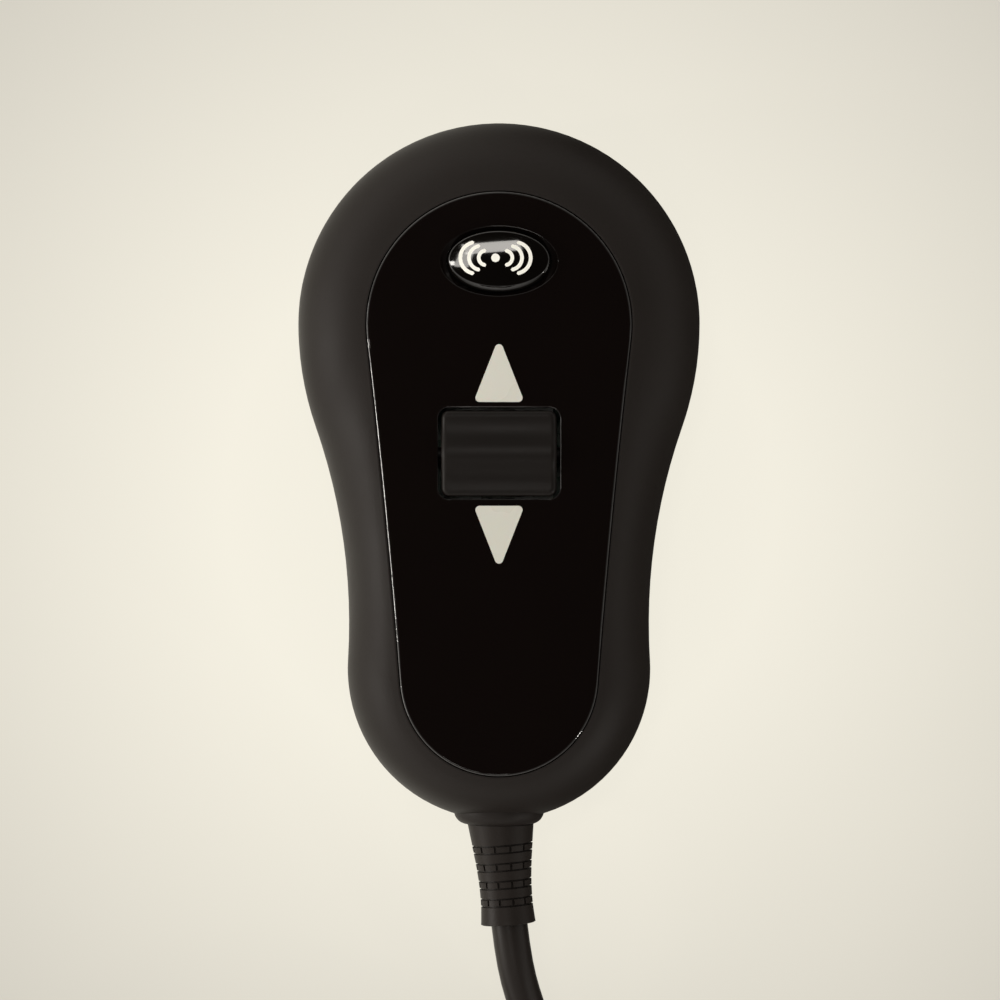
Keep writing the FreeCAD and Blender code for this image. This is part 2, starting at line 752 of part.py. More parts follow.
def screw(x, y, seat_z, up, radius, length):
    """Pan-head screw with a cross recess; the shank goes towards +Z when up is 1."""
    head_height = radius * head_height_share
    outer_z = seat_z - up * head_height
    low, high = sorted((seat_z, outer_z))
    head = post(x, y, low, high, radius * head_radius_share)
    rim = [e for e in head.Edges if abs(e.BoundBox.ZMax - outer_z) < 1e-4 and abs(e.BoundBox.ZMin - outer_z) < 1e-4]
    head = head.makeFillet(head_height * head_round_share, rim)
    low, high = sorted((seat_z, seat_z + up * length))
    whole = head.fuse(post(x, y, low, high, radius))
    slot = radius * recess_width_share
    reach = radius * recess_reach_share
    low, high = sorted((outer_z, outer_z + up * head_height * recess_depth_share))
    whole = whole.cut(box(x - slot, x + slot, y - reach, y + reach, low, high))
    return whole.cut(box(x - reach, x + reach, y - slot, y + slot, low, high))


def screws(places, seat_z, up, radius, length):
    return Part.makeCompound([screw(x, y, seat_z, up, radius, length) for x, y in places])


def circuit_board():
    """Board with the housing's outline, moved in, and cut straight across above the cord clamp."""
    board = keyhole_slab(inset(housing_sizes, board_inset), board_z, board_top_z)
    board = board.cut(box(-clear, clear, boss_end_y, board_foot_y, board_z - margin, board_top_z + margin))
    for x, y in case_screw_places:
        board = board.cut(post(x, y, board_z, board_top_z, case_boss_radius + boss_hole_clearance))
    for x, y in board_boss_places:
        board = board.cut(post(x, y, board_z, board_top_z, board_screw_radius + hole_clearance))
    return board


def keypad_mat():
    """Silicone mat on the board with a hollow dome under each pressing foot, and a hole for the upper light."""
    low_y = min(arrow_light_y) + led_width / 2 + mat_light_gap
    high_y = max(dome_y) + dome_base_radius + mat_margin
    mat = rounded_slab(rectangle(2 * mat_half_width, high_y - low_y, (high_y + low_y) / 2), mat_margin,
                       board_top_z, mat_top_z)
    mat = mat.cut(post(0, max(arrow_light_y), board_top_z, mat_top_z, led_width / 2 + mat_window_gap))
    for y in dome_y:
        mat = mat.fuse(Part.makeCone(dome_base_radius, dome_top_radius, dome_height, V(0, y, mat_top_z)))
        mat = mat.cut(Part.makeCone(dome_base_radius - dome_wall, dome_top_radius - dome_wall,
                                    mat_thickness + dome_height - dome_roof, V(0, y, board_top_z)))
    return mat


def led(y):
    half = led_width / 2
    body = box(-half, half, y - half, y + half, board_top_z, board_top_z + led_height)
    lens = Part.makeCone(led_lens_radius, led_lens_top_radius, led_lens_height, V(0, y, board_top_z + led_height))
    return body.fuse(lens)


def control_chip():
    """Chip under the board with a row of legs down each side."""
    y = head_y - chip_below_head
    wide, long, high = chip_size
    leg_reach, leg_width, leg_thickness = chip_leg_size
    half_body = wide / 2 - leg_reach
    chip = box(chip_x - half_body, chip_x + half_body, y - long / 2, y + long / 2,
               board_z - high, board_z - chip_lift)
    for i in range(chip_leg_count):
        leg_y = y + (i - (chip_leg_count - 1) / 2) * chip_leg_pitch
        for side in (-1, 1):
            x0, x1 = sorted((chip_x + side * half_body, chip_x + side * wide / 2))
            chip = chip.fuse(box(x0, x1, leg_y - leg_width / 2, leg_y + leg_width / 2,
                                 board_z - leg_thickness, board_z))
    return chip


def capacitor():
    """Round can under the board with a groove rolled in near its far end."""
    high = capacitor_height
    groove = high - capacitor_groove_height
    return turned([(0, 0), (0, capacitor_radius), (groove - capacitor_groove_depth, capacitor_radius),
                   (groove, capacitor_radius - capacitor_groove_depth),
                   (groove + capacitor_groove_depth, capacitor_radius),
                   (high, capacitor_radius), (high, 0)],
                  V(capacitor_x, head_y, board_z), -Z_AXIS)


def board_connector():
    """Header under the foot of the board, open towards the cord for its mating housing."""
    wide, long, high = header_size
    header = box(-wide / 2, wide / 2, header_back_y - long, header_back_y, board_z - high, board_z)
    half_room = wire_housing_size[0] / 2 + header_clearance
    half_height = wire_housing_size[2] / 2 + header_clearance
    return header.cut(box(-half_room, half_room, header_back_y - long, header_back_y - header_back_wall,
                          wire_z - half_height, wire_z + half_height))


def wire_housing():
    wide, long, high = wire_housing_size
    return box(-wide / 2, wide / 2, wire_housing_front_y - long, wire_housing_front_y,
               wire_z - high / 2, wire_z + high / 2)


def bent_rod(points, radius):
    """Round rod along straight runs with an arc at each turn, each arc as large as its runs allow."""
    places = [V(*p) for p in points]
    edges = []
    last = places[0]
    radii = []
    for i in range(1, len(places) - 1):
        before = places[i - 1] - places[i]
        after = places[i + 1] - places[i]
        turn = math.pi - before.getAngle(after)
        back = bend_share * min(before.Length, after.Length)
        bend = back / math.tan(turn / 2)
        radii.append(bend)
        before.normalize()
        after.normalize()
        start = places[i] + before * back
        end = places[i] + after * back
        inward = (before + after).normalize()
        middle = places[i] + inward * (bend / math.cos(turn / 2) - bend)
        edges.append(Part.LineSegment(last, start).toShape())
        edges.append(Part.Arc(start, middle, end).toShape())
        last = end
    edges.append(Part.LineSegment(last, places[-1]).toShape())
    path = Part.Wire(edges)
    heading = places[1] - places[0]
    circle = Part.Wire([Part.Circle(places[0], heading, radius).toShape()])
    rod = path.makePipeShell([circle], True, False)
    return rod, path.Length, radii


def lead_wire(i):
    """One core of the cord, from the end of its jacket to the wire housing."""
    turn = math.radians(360 / wire_count * i + 90)
    ring = cord_radius * wire_ring_share
    cord_y = cord_exit[0][1]
    house_y = wire_housing_front_y - wire_housing_size[1]
    run = (house_y - cord_y) * wire_run_share
    start = (ring * math.cos(turn), cord_y, parting_z + ring * math.sin(turn))
    end = ((wire_place(i) - (wire_count - 1) / 2) * wire_pitch, house_y, wire_z)
    rod, _, _ = bent_rod([start, (start[0], cord_y + run, start[2]), (end[0], house_y - run, end[2]), end],
                         wire_radius)
    return rod


def wire_place(i):
    """Place of core i along the wire housing, so that no two cores cross."""
    return (2, 0, 1, 3, 4)[i]


def cord_clamp():
    """Bar over the cord with a half bore for it and a screw hole on each side."""
    low = parting_z + clamp_gap / 2
    bar = box(-clamp_width / 2, clamp_width / 2, clamp_y - clamp_length / 2, clamp_y + clamp_length / 2,
              low, clamp_top_z)
    upright = [e for e in bar.Edges if abs(e.BoundBox.ZLength - clamp_thickness) < 1e-3]
    bar = bar.makeFillet(clamp_corner, upright)
    bar = bar.cut(cord_bore(clamp_y + clamp_length, 2 * clamp_length))
    for side in (-1, 1):
        bar = bar.cut(post(side * clamp_screw_x, clamp_y, low, clamp_top_z, clamp_screw_radius + hole_clearance))
    return bar


def boot_axis():
    lean = math.radians(boot_lean)
    return V(math.sin(lean), -math.cos(lean), 0)


def boot_radius(s):
    """Outer radius of the boot at distance s past its first ring, drawn in and then flared at the end."""
    waist_at = boot_length * boot_waist_share
    if s <= waist_at:
        share = (s - boot_collar_length) / (waist_at - boot_collar_length)
        return boot_collar_radius + (boot_waist_radius - boot_collar_radius) * math.sin(share * math.pi / 2)
    share = (s - waist_at) / (boot_length - waist_at)
    return boot_waist_radius + (boot_end_radius - boot_waist_radius) * share ** 2


def boot_profile():
    """Half section of the boot: inner flange, neck, first ring, collar, grooves between bands, rolled end."""
    profile = [(boot_flange_start, 0), (boot_flange_start, boot_flange_radius),
               (boot_flange_end, boot_flange_radius), (boot_flange_end, neck_radius),
               (boot_start, neck_radius), (boot_start, boot_top_radius - boot_top_round),
               (boot_start + boot_top_round, boot_top_radius)]
    for band in range(band_count):
        low = boot_collar_length + band * band_pitch
        for edge in (low, low + band_height - groove_width):
            profile += [(boot_start + edge, boot_radius(edge)),
                        (boot_start + edge, boot_radius(edge) - groove_depth),
                        (boot_start + edge + groove_width, boot_radius(edge) - groove_depth),
                        (boot_start + edge + groove_width, boot_radius(edge))]
    land = boot_length - boot_end_land
    profile += [(boot_start + land, boot_radius(land)),
                (boot_start + boot_length - boot_end_lip, boot_end_radius),
                (boot_start + boot_length, boot_end_radius - boot_end_round), (boot_start + boot_length, 0)]
    return profile


def boot_slits():
    """Cuts along the boot that part each band into blocks."""
    slits = []
    long = band_height - groove_width
    for band in range(band_count):
        low = boot_collar_length + band * band_pitch + groove_width / 2
        base = boot_radius(low) - groove_depth
        for i in range(slit_count):
            slit = Part.makeBox(long, slit_width, groove_depth + margin, V(low, -slit_width / 2, base))
            slit.rotate(V(0, 0, 0), X_AXIS, 360 / slit_count * (i + 0.5))
            slits.append(slit)
    cutter = Part.makeCompound(slits)
    cutter.rotate(V(0, 0, 0), Z_AXIS, boot_lean - 90)
    cutter.translate(V(0, boot_pivot_y, parting_z) + boot_axis() * boot_start)
    return cutter


def cord_boot():
    """Strain relief that leans with the cord, its flange held in the boss and its first ring flush with it."""
    pivot = V(0, boot_pivot_y, parting_z)
    boot = turned(boot_profile(), pivot, boot_axis())
    seat = box(-boss_radius, boss_radius, boss_end_y - boot_seat_gap, boss_end_y + boss_end_wall,
               parting_z - boss_radius, parting_z + boss_radius)
    seat = seat.cut(Part.makeCylinder(neck_radius, boot_start + boss_radius, pivot, boot_axis()))
    bore, _, _ = bent_rod(cord_exit + cord_route, cord_radius + cord_fit)
    return boot.cut(seat).cut(boot_slits()).cut(bore)


def tube_along(name, route):
    """Cord along a route, with its length, its fullness and its bends printed."""
    tube, length, radii = bent_rod(route, cord_radius)
    full = tube.Volume / (math.pi * cord_radius ** 2 * length)
    print(name, "length", round(length, 1), "volume ratio", round(full, 4), "bends", [round(r, 1) for r in radii])
    return tube


def plug_axis():
    turn = math.radians(plug_direction)
    return V(math.cos(turn), math.sin(turn), 0)


def plug_rear():
    return V(*tail_route[-1]) + plug_axis() * plug_lead


def plug_front():
    return plug_rear() + plug_axis() * (plug_relief_length + plug_grip_length - plug_shell_seat)


def cord_tail():
    end = plug_rear() + plug_axis() * plug_bore_depth
    return tube_along("cord tail", tail_route + [(end.x, end.y, end.z)])


def cord_coil():
    """Plain ring in the place of the coiled turns."""
    inner = coil_mean_radius - coil_spread - cord_radius
    outer = coil_mean_radius + coil_spread + cord_radius
    high = coil_layers * 2 * cord_radius
    at = V(coil_centre[0], coil_centre[1], 0)
    ring = Part.makeCylinder(outer, high, at).cut(Part.makeCylinder(inner, high, at))
    return ring.makeFillet(coil_edge_round, [e for e in ring.Edges if e.BoundBox.ZLength < 1e-4])


def plug_grip():
    """Moulded grip of the plug with a flexible tail, finger ribs on two sides and a bore for the cord."""
    rear = plug_rear()
    axis = plug_axis()
    s1 = plug_relief_length
    s2 = s1 + plug_grip_length
    step = s1 - plug_step_start
    shoulder = s1 + plug_shoulder_length
    grip = turned([(0, 0), (0, plug_relief_radius - plug_relief_round), (plug_relief_round, plug_relief_radius),
                   (step, plug_relief_end_radius),
                   (step + plug_step_length, plug_relief_end_radius + plug_step_rise),
                   (shoulder - 2 * plug_edge_round, plug_grip_radius - plug_edge_round),
                   (shoulder, plug_grip_radius),
                   (s2 - plug_edge_round, plug_grip_radius), (s2, plug_grip_radius - plug_edge_round),
                   (s2, 0)], rear, axis)
    grip = grip.cut(Part.makeCylinder(cord_radius + cord_fit, plug_bore_depth, rear, axis))
    grip = grip.cut(Part.makeCylinder(plug_shell_radius + plug_fit, plug_shell_seat, plug_front(), axis))
    cuts = []
    for i in range(plug_rib_count):
        at = s1 + plug_rib_start + i * plug_rib_pitch
        for side in (-1, 1):
            y0, y1 = sorted((side * (plug_grip_radius - plug_rib_depth), side * (plug_grip_radius + margin)))
            cuts.append(box(at, at + plug_rib_width, y0, y1, -plug_grip_radius, plug_grip_radius))
    cutter = Part.makeCompound(cuts)
    cutter.rotate(V(0, 0, 0), Z_AXIS, plug_direction)
    cutter.translate(rear)
    return grip.cut(cutter)


def plug_shell():
    """Metal shell of the plug with the inward key along its side."""
    start = plug_front()
    axis = plug_axis()
    long = plug_shell_seat + plug_shell_length
    inner = plug_shell_radius - plug_shell_wall
    shell = Part.makeCylinder(plug_shell_radius, long, start, axis)
    shell = shell.cut(Part.makeCylinder(inner, long, start, axis))
    key = Part.makeBox(long - plug_insert_length, plug_key_width, plug_key_depth,
                       V(plug_insert_length, -plug_key_width / 2, inner - plug_key_depth + plug_key_root))
    key.rotate(V(0, 0, 0), Z_AXIS, plug_direction)
    key.translate(start)
    return shell.fuse(key)


def plug_insert():
    return Part.makeCylinder(plug_shell_radius - plug_shell_wall - plug_fit, plug_insert_length,
                             plug_front(), plug_axis())


def plug_pins():
    """Five round pins on part of a circle, standing on the insert."""
    pins = []
    base = plug_front() + plug_axis() * plug_insert_length
    side = plug_axis().cross(Z_AXIS)
    for i in range(wire_count):
        turn = math.radians(180 + plug_pin_step * i)
        place = base + side * (plug_pin_circle * math.cos(turn)) + Z_AXIS * (plug_pin_circle * math.sin(turn))
        pin = Part.makeCylinder(plug_pin_radius, plug_pin_length, place, plug_axis())
        tip = [e for e in pin.Edges if len(e.Vertexes) == 1 and
               (e.CenterOfMass - place).dot(plug_axis()) > plug_pin_length / 2]
        pins.append(pin.makeFillet(plug_pin_radius * plug_pin_round_share, tip))
    return Part.makeCompound(pins)


def main():
    nodes = {
        "rear_shell": rear_shell(),
        "front_shell": front_shell(),
        "faceplate": faceplate(),
        "massage_button": massage_button(),
        "rocker": rocker(),
        "up_arrow_window": arrow_window(up_arrow_base_y, 1),
        "down_arrow_window": arrow_window(down_arrow_base_y, -1),
        "case_screws": screws(case_screw_places, parting_z - well_seat, 1, case_screw_radius,
                              case_screw_length + well_seat),
        "circuit_board": circuit_board(),
        "board_screws": screws(board_boss_places, board_z, 1, board_screw_radius, board_screw_length),
        "keypad_mat": keypad_mat(),
        "up_led": led(arrow_light_y[0]),
        "down_led": led(arrow_light_y[1]),
        "control_chip": control_chip(),
        "capacitor": capacitor(),
        "board_connector": board_connector(),
        "wire_housing": wire_housing(),
        "cord_clamp": cord_clamp(),
        "clamp_screws": screws(mirrored([(clamp_screw_x, clamp_y)]), clamp_top_z, -1, clamp_screw_radius,
                               clamp_screw_length),
        "cord_boot": cord_boot(),
        "cord": tube_along("cord", cord_exit + cord_route),
        "cord_coil": cord_coil(),
        "cord_tail": cord_tail(),
        "plug_grip": plug_grip(),
        "plug_shell": plug_shell(),
        "plug_insert": plug_insert(),
        "plug_pins": plug_pins(),
    }
    for i in range(wire_count):
        nodes[f"lead_wire_{i + 1}"] = lead_wire(i)
    os.makedirs("parts", exist_ok=True)
    for name, shape in nodes.items():
        shape.exportStep(f"parts/{name}.step")
        size = shape.BoundBox
        print(name, "solids", len(shape.Solids), "valid", shape.isValid(), "volume", round(shape.Volume, 1),
              "x", round(size.XMin, 2), round(size.XMax, 2), "y", round(size.YMin, 2), round(size.YMax, 2),
              "z", round(size.ZMin, 2), round(size.ZMax, 2))


main()
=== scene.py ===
# %% [markdown]
# # A recliner hand control, dressed for its photograph
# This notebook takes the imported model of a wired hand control, a keyhole-shaped black housing with an oval push
# button, a rocker and a cord, and gives each piece its finish. The model comes in as a fixed frame: its pieces keep
# their size and place, and only materials, print, the cord and the light are made here.

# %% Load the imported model
import math

import bpy
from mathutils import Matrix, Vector
from mathutils.bvhtree import BVHTree


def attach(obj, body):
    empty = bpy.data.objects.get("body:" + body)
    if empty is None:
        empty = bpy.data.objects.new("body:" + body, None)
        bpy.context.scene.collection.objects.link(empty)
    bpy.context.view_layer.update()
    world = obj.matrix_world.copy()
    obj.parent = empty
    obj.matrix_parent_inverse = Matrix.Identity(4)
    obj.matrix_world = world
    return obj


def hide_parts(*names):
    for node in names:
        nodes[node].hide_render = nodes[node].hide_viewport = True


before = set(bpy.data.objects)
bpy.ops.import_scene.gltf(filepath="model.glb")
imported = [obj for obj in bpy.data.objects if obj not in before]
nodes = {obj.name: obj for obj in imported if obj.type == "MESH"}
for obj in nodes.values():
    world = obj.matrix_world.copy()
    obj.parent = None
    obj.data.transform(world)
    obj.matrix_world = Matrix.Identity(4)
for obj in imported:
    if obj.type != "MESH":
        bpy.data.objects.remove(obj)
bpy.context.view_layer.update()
MM = 0.001

# %% [markdown]
# ## The camera
# The photograph looks straight down on the face through a long lens, so the outline shows almost no perspective.
# A 150 mm lens at two thirds of a metre does the same. Its place follows from the width of the picture on the object,
# which keeps every piece at the photograph's scale.

# %% Camera straight above the face
PICTURE_WIDTH = 160 * MM
PARTING_HEIGHT = 13 * MM
PICTURE_CENTRE = (0.16 * MM, -4.24 * MM)
LENS = 150.0
SENSOR = 36.0

camera_data = bpy.data.cameras.new("camera")
camera_data.lens = LENS
camera_data.sensor_width = SENSOR
camera_data.clip_start = 0.01
camera_data.clip_end = 20
camera = bpy.data.objects.new("camera", camera_data)
camera_height = PICTURE_WIDTH * LENS / SENSOR
camera.location = (PICTURE_CENTRE[0], PICTURE_CENTRE[1], PARTING_HEIGHT + camera_height)
bpy.context.scene.collection.objects.link(camera)
bpy.context.scene.camera = camera
print("camera is", round(camera_height, 3), "m above the parting line")

# %% [markdown]
# ## The cord
# A real handset cord is a fixed length of round rubber cable. It leaves the boot, sinks to the table under its own
# weight, and the length that nobody needs is wound into a neat coil of two layers, with the plug laid on top.
# One NURBS curve holds all of it: a few listed points where it runs free, and a loop for the turns of the coil.

# %% Route of the cord
CORD_RADIUS = 2.9
BOOT_START = (0.3, -56.0, 13.0)
FREE_RUN = [
    (1.45, -74.5, 13.0), (4.9, -88.0, 9.0), (11.2, -99.8, 4.2), (19.3, -110.6, 3.0), (27.5, -124.5, 3.0),
]
TAIL_RUN = [
    (1.5, -96.9, 8.9), (14.5, -104.1, 11.4), (22.8, -115.2, 14.4), (26.2, -128.8, 17.2), (23.9, -142.6, 19.1),
    (16.4, -154.4, 19.1),
]
PLUG_TURN = math.radians(-147.0)
PLUG_LEAD = 8.0
PLUG_BORE = 7.5

COIL_CENTRE = (-13.6, -136.6)
COIL_OUTER = 42.6
COIL_INNER = 23.4
COIL_START = 16.0
COIL_END = 68.0
COIL_TURNS = 7
POINTS_A_TURN = 14
LAYER_HEIGHTS = (2.95, 8.75)
LAYER_TURNS = 3.3


def coil_points():
    """Control points of the coil: inwards along the lower layer, up, and outwards along the upper one."""
    total = COIL_TURNS - (COIL_END - COIL_START) / 360
    rise = total - 2 * LAYER_TURNS
    count = round(total * POINTS_A_TURN)
    swell = 1 / math.cos(math.pi / POINTS_A_TURN)
    low, high = LAYER_HEIGHTS
    points = []
    for i in range(1, count):
        turns = total * i / count
        inwards = min(turns / LAYER_TURNS, 1)
        outwards = max((turns - LAYER_TURNS - rise) / LAYER_TURNS, 0)
        climb = min(max((turns - LAYER_TURNS) / rise, 0), 1)
        radius = (COIL_OUTER - (COIL_OUTER - COIL_INNER) * (inwards - outwards)) * swell
        angle = math.radians(COIL_START - 360 * turns)
        points.append((COIL_CENTRE[0] + radius * math.cos(angle),
                       COIL_CENTRE[1] + radius * math.sin(angle),
                       low + (high - low) * climb))
    return points


def plug_end():
    """The tail goes on along the plug's own line, and ends inside its bore."""
    x, y, z = TAIL_RUN[-1]
    reach = PLUG_LEAD + PLUG_BORE
    return [(x + reach * math.cos(PLUG_TURN), y + reach * math.sin(PLUG_TURN), z)]


route = [BOOT_START] + FREE_RUN + coil_points() + TAIL_RUN + plug_end()
print("cord points:", len(route))

# %% One smooth curve through the route
# The cord's thickness stands at its points, because a curve's box grows by the radius that its points have.
curve = bpy.data.curves.new("cord_jacket", "CURVE")
curve.dimensions = "3D"
curve.bevel_depth = 1
curve.bevel_resolution = 6
curve.resolution_u = 6
curve.use_fill_caps = True
spline = curve.splines.new("NURBS")
spline.points.add(len(route) - 1)
for point, place in zip(spline.points, route):
    point.co = (place[0] * MM, place[1] * MM, place[2] * MM, 1)
    point.radius = CORD_RADIUS * MM
spline.order_u = 3
spline.use_endpoint_u = True
cord_jacket = bpy.data.objects.new("cord_jacket", curve)
bpy.context.scene.collection.objects.link(cord_jacket)
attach(cord_jacket, "housing")
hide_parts("cord", "cord_coil", "cord_tail")

# %% [markdown]
# ## Materials
# Almost everything here is black, so what tells the pieces apart is how they throw light back: a soft-touch shell
# scatters it, the lacquered faceplate mirrors it, rubber swallows it. Each finish is a small node tree: a base colour
# that shifts a little over the surface, a roughness that is never quite even, and a fine bump for the grain.


# %% Helpers for shader nodes
def add_node(tree, kind, **values):
    """Makes a shader node and sets its inputs by name."""
    node = tree.nodes.new(kind)
    for name, value in values.items():
        node.inputs[name.replace("_", " ")].default_value = value
    return node


def new_material(name):
    """A material with its node tree and its main shader."""
    material = bpy.data.materials.new(name)
    material.use_nodes = True
    return material, material.node_tree, material.node_tree.nodes["Principled BSDF"]


def noise(tree, scale, detail=3.0, rough=0.55):
    """Noise in the object's own metres, so that its grain has a real size."""
    place = add_node(tree, "ShaderNodeTexCoord")
    made = add_node(tree, "ShaderNodeTexNoise", Scale=scale, Detail=detail, Roughness=rough)
    tree.links.new(place.outputs["Object"], made.inputs["Vector"])
    return made.outputs["Fac"]


def spread(tree, source, low, high, start=0.3, end=0.7):
    """Maps a value between start and end to the range from low to high."""
    made = add_node(tree, "ShaderNodeMapRange")
    made.inputs["From Min"].default_value = start
    made.inputs["From Max"].default_value = end
    made.inputs["To Min"].default_value = low
    made.inputs["To Max"].default_value = high
    tree.links.new(source, made.inputs["Value"])
    return made.outputs["Result"]


def blend_colours(tree, factor, first, second):
    """Goes from the first colour to the second with the factor."""
    made = tree.nodes.new("ShaderNodeMix")
    made.data_type = "RGBA"
    made.inputs["A"].default_value = (*first, 1)
    made.inputs["B"].default_value = (*second, 1)
    tree.links.new(factor, made.inputs["Factor"])
    return made.outputs["Result"]


def grain(tree, shader, source, height, strength=1.0):
    """Bump of a real height in metres."""
    made = add_node(tree, "ShaderNodeBump", Strength=strength, Distance=height)
    tree.links.new(source, made.inputs["Height"])
    tree.links.new(made.outputs["Normal"], shader.inputs["Normal"])


def moulded(name, colour, shift, rough, grain_scale, grain_height, patch_scale=60.0, specular=0.5):
    """Moulded plastic or rubber: even colour with a slight shift, uneven roughness and a fine grain."""
    material, tree, shader = new_material(name)
    patches = noise(tree, patch_scale)
    lighter = tuple(c * (1 + shift) for c in colour)
    darker = tuple(c * (1 - shift) for c in colour)
    tree.links.new(blend_colours(tree, patches, darker, lighter), shader.inputs["Base Color"])
    tree.links.new(spread(tree, patches, rough[0], rough[1]), shader.inputs["Roughness"])
    shader.inputs["Specular IOR Level"].default_value = specular
    grain(tree, shader, noise(tree, grain_scale, 4.0), grain_height)
    return material


# %% [markdown]
# ### Black plastics and rubber
# The shell is sprayed or sparked to a soft satin, with a grain that only shows as a broad, quiet highlight.
# The faceplate and the button are polished in the mould. The rocker lies between the two.

# %% Black finishes
soft_shell = moulded("soft_touch_shell", (0.0098, 0.0074, 0.0062), 0.10, (0.50, 0.58), 2600.0, 0.000018,
                      specular=0.14)
piano_face = moulded("piano_black_face", (0.0032, 0.0020, 0.0017), 0.10, (0.015, 0.025), 240.0, 0.0000006)
piano_button = moulded("piano_black_button", (0.0020, 0.0015, 0.0012), 0.10, (0.040, 0.060), 240.0, 0.0000006)
satin_rocker = moulded("satin_rocker", (0.0055, 0.0041, 0.0034), 0.12, (0.38, 0.46), 1800.0, 0.000008,
                       specular=0.11)
boot_rubber = moulded("boot_rubber", (0.0125, 0.0097, 0.0082), 0.14, (0.42, 0.52), 2200.0, 0.000020,
                       specular=0.11)
cord_rubber = moulded("cord_rubber", (0.0110, 0.0085, 0.0072), 0.12, (0.34, 0.44), 1500.0, 0.000014,
                       specular=0.14)
dark_moulding = moulded("dark_moulding", (0.012, 0.012, 0.013), 0.10, (0.40, 0.55), 900.0, 0.000010)
print("black finishes made")

# %% [markdown]
# ### Pale finishes
# The arrow windows are milky plastic that lets light from behind through, so they look soft and even in daylight.
# The print on the button is a thick pale ink with a slightly uneven edge to its gloss.

# %% Windows, print, silicone and nylon
milky_window = moulded("milky_window", (0.560, 0.555, 0.495), 0.03, (0.26, 0.34), 500.0, 0.000003)
milky_shader = milky_window.node_tree.nodes["Principled BSDF"]
milky_shader.inputs["Subsurface Weight"].default_value = 0.15
milky_shader.inputs["Subsurface Scale"].default_value = 0.0006
pale_ink = moulded("pale_ink", (0.86, 0.855, 0.79), 0.02, (0.45, 0.60), 3000.0, 0.000004)
silicone = moulded("grey_silicone", (0.48, 0.48, 0.46), 0.05, (0.45, 0.60), 700.0, 0.000010)
nylon = moulded("natural_nylon", (0.62, 0.58, 0.48), 0.04, (0.45, 0.55), 900.0, 0.000010)
led_plastic = moulded("led_plastic", (0.70, 0.66, 0.48), 0.05, (0.30, 0.40), 900.0, 0.000004)
print("pale finishes made")

# %% [markdown]
# ### Metals, the board and the cores
# The screws are zinc plated steel with faint turning marks. The plug's shell and pins are nickel plated and nearly
# mirror-like. The board is green lacquer over copper tracks, which a wave pattern suggests well enough inside.


# %% Metal, board and wire finishes
LACQUER = (0.003, 0.022, 0.009)
LACQUER_OVER_TRACKS = (0.007, 0.040, 0.016)
DULLER_SHARE = 0.82


def plated(name, colour, rough, mark_scale):
    """Plated metal with faint marks from its making."""
    material, tree, shader = new_material(name)
    shader.inputs["Metallic"].default_value = 1.0
    patches = noise(tree, 400.0)
    duller = tuple(c * DULLER_SHARE for c in colour)
    tree.links.new(blend_colours(tree, patches, duller, colour), shader.inputs["Base Color"])
    tree.links.new(spread(tree, patches, rough[0], rough[1]), shader.inputs["Roughness"])
    grain(tree, shader, noise(tree, mark_scale, 2.0), 0.000004)
    return material


def board_lacquer():
    """Dark green lacquer with slightly paler tracks showing through it."""
    material, tree, shader = new_material("board_lacquer")
    place = add_node(tree, "ShaderNodeTexCoord")
    tracks = add_node(tree, "ShaderNodeTexWave", Scale=180.0, Distortion=3.0, Detail=1.0)
    tree.links.new(place.outputs["Object"], tracks.inputs["Vector"])
    sharp = spread(tree, tracks.outputs["Fac"], 0, 1, 0.46, 0.54)
    colour = blend_colours(tree, sharp, LACQUER, LACQUER_OVER_TRACKS)
    tree.links.new(colour, shader.inputs["Base Color"])
    tree.links.new(spread(tree, noise(tree, 300.0), 0.25, 0.40), shader.inputs["Roughness"])
    grain(tree, shader, sharp, 0.00003)
    return material


zinc = plated("zinc_steel", (0.56, 0.56, 0.57), (0.26, 0.40), 2500.0)
nickel = plated("nickel_plate", (0.66, 0.65, 0.63), (0.10, 0.20), 1500.0)
can_metal = plated("capacitor_can", (0.60, 0.60, 0.62), (0.25, 0.35), 1800.0)
board_green = board_lacquer()
CORE_COLOURS = [(0.36, 0.02, 0.02), (0.01, 0.05, 0.30), (0.40, 0.33, 0.02), (0.02, 0.18, 0.04), (0.02, 0.02, 0.02)]
cores = [moulded(f"core_{i + 1}", c, 0.05, (0.35, 0.45), 900.0, 0.000004) for i, c in enumerate(CORE_COLOURS)]
print("metals, board and cores made")

# %% [markdown]
# ### Give every piece its finish
# Each piece of the frame keeps its mesh. Only the material in its slots changes, so the table below is all there is.

# %% Which piece has which finish
FINISHES = {
    soft_shell: ["front_shell", "rear_shell"],
    piano_face: ["faceplate"],
    piano_button: ["massage_button"],
    satin_rocker: ["rocker"],
    milky_window: ["up_arrow_window", "down_arrow_window"],
    boot_rubber: ["cord_boot", "plug_grip"],
    dark_moulding: ["cord_clamp", "control_chip", "plug_insert"],
    silicone: ["keypad_mat"],
    nylon: ["board_connector", "wire_housing"],
    led_plastic: ["up_led", "down_led"],
    zinc: ["case_screws", "board_screws", "clamp_screws"],
    nickel: ["plug_shell", "plug_pins"],
    can_metal: ["capacitor"],
    board_green: ["circuit_board"],
}
for i, core in enumerate(cores):
    FINISHES[core] = [f"lead_wire_{i + 1}"]


def dress(piece, material):
    """Puts one material in every slot of a piece."""
    if not piece.data.materials:
        piece.data.materials.append(material)
    for i in range(len(piece.data.materials)):
        piece.data.materials[i] = material


for material, names in FINISHES.items():
    for name in names:
        dress(nodes[name], material)
cord_jacket.data.materials.append(cord_rubber)
print("dressed pieces:", sum(len(names) for names in FINISHES.values()) + 1)

